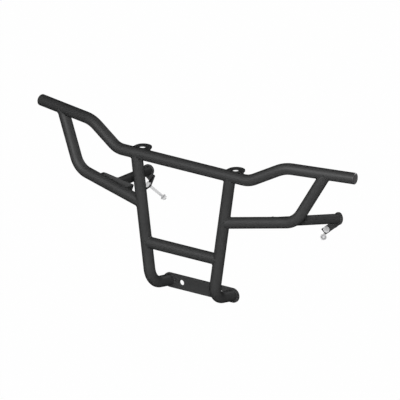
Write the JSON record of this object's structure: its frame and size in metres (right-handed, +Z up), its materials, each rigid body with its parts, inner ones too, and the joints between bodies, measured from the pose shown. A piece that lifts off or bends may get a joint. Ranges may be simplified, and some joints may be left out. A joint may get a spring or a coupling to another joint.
{
  "type": "utility vehicle rear bumper",
  "caption": "Welded round-tube rear bumper for a side-by-side utility vehicle, with raised wings, side loops, rear arms with bolted end plates, and a flat base plate.",
  "frame": {"origin": "middle of the base plate's two holes, on the plate's back face, which meets the vehicle", "axes": "+X across the vehicle along the rail, +Y from the bumper towards the vehicle, +Z up"},
  "size_m": [1.3748, 0.3908, 0.6029],
  "materials": {
    "powder_coat": "black powder coat, fine satin texture, on welded steel tube and plate",
    "cap_plastic": "moulded black plastic",
    "zinc_steel": "bright zinc plate"
  },
  "bodies": {
    "root": {"top_rail": "powder_coat", "right_upright": "powder_coat", "left_upright": "powder_coat", "cross_bar": "powder_coat", "right_side_tube": "powder_coat", "left_side_tube": "powder_coat", "right_arm": "powder_coat", "left_arm": "powder_coat", "right_arm_bracket": "powder_coat", "left_arm_bracket": "powder_coat", "right_end_plate": "powder_coat", "left_end_plate": "powder_coat", "right_top_tab": "powder_coat", "left_top_tab": "powder_coat", "base_plate": "powder_coat", "right_end_cap": "cap_plastic", "left_end_cap": "cap_plastic", "right_bolt": "zinc_steel", "left_bolt": "zinc_steel", "right_nut": "zinc_steel", "left_nut": "zinc_steel"}
  },
  "joints": []
}
